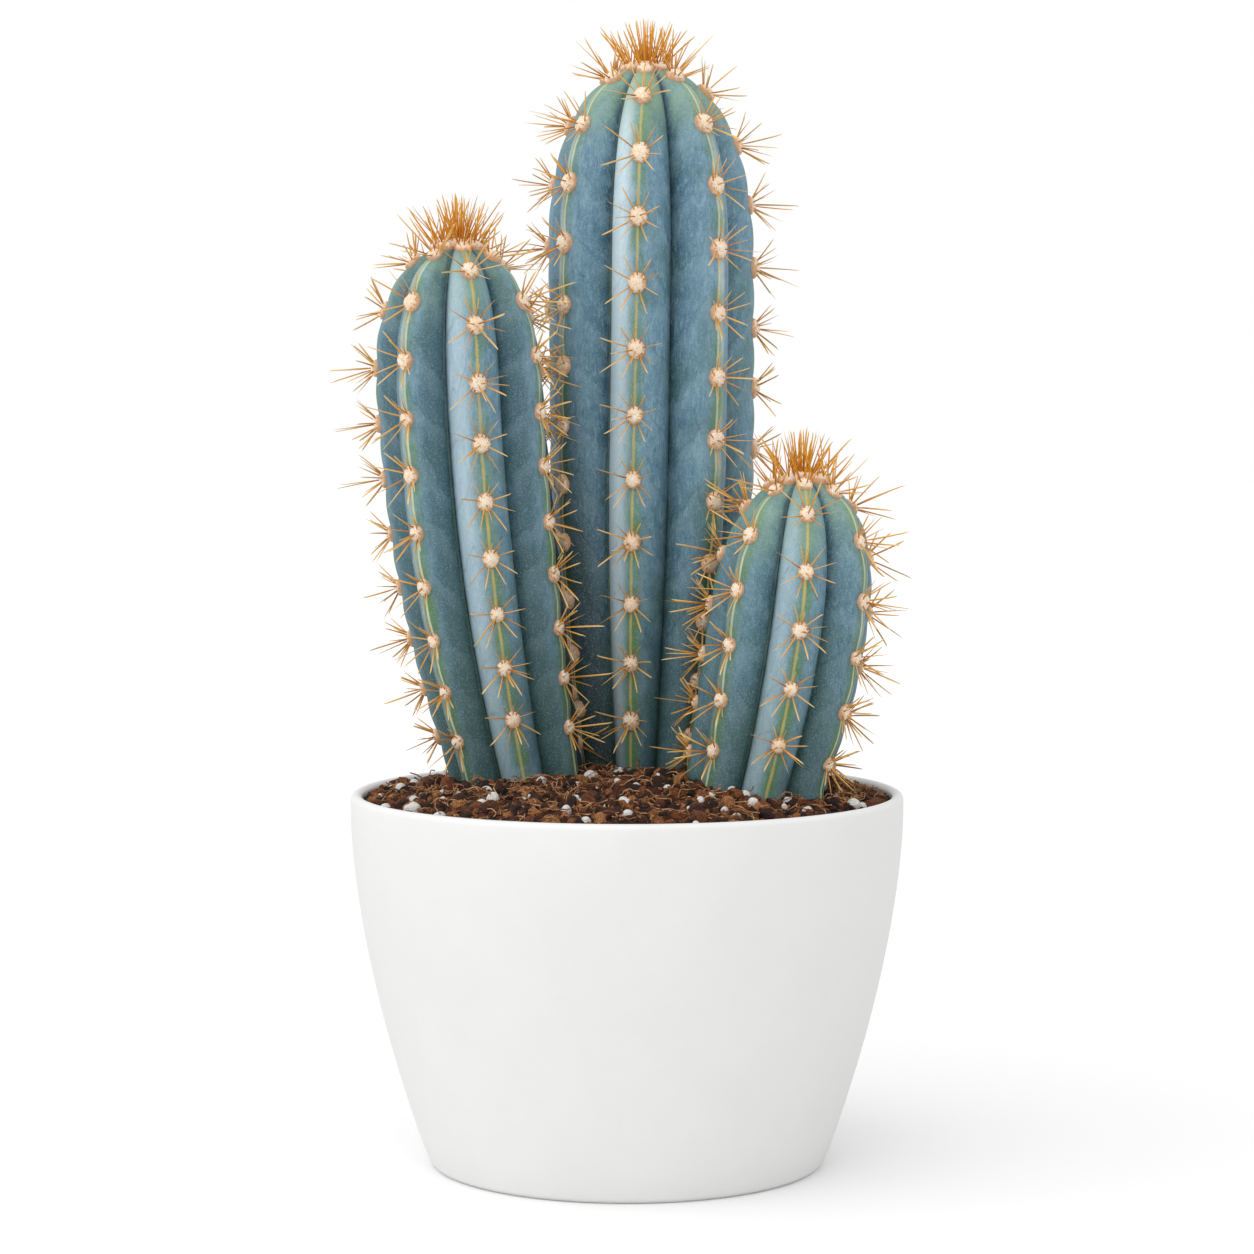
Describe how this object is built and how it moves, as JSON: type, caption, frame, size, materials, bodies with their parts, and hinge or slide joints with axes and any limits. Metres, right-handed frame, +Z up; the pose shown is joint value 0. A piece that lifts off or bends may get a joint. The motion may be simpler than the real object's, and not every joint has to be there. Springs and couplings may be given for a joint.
{
  "type": "potted blue torch cactus",
  "caption": "Columnar blue cactus with ribbed, spiny stems and golden tip tufts, rooted in potting mix in a plain tapered white pot; decorative houseplant.",
  "frame": {"origin": "middle of the pot's flat bottom", "axes": "+Z up along the pot's axis; the plant's front, with the small stem at its right, faces -Y"},
  "size_m": [0.1639, 0.16, 0.3341],
  "materials": {
    "pot": "satin",
    "soil": "matte",
    "stem": "satin",
    "crown": "satin"
  },
  "bodies": {
    "root": {"pot": "pot", "soil": "soil", "stem_tall": "stem", "stem_left": "stem", "stem_right": "stem", "crown_tall": "crown", "crown_left": "crown", "crown_right": "crown"}
  },
  "joints": []
}
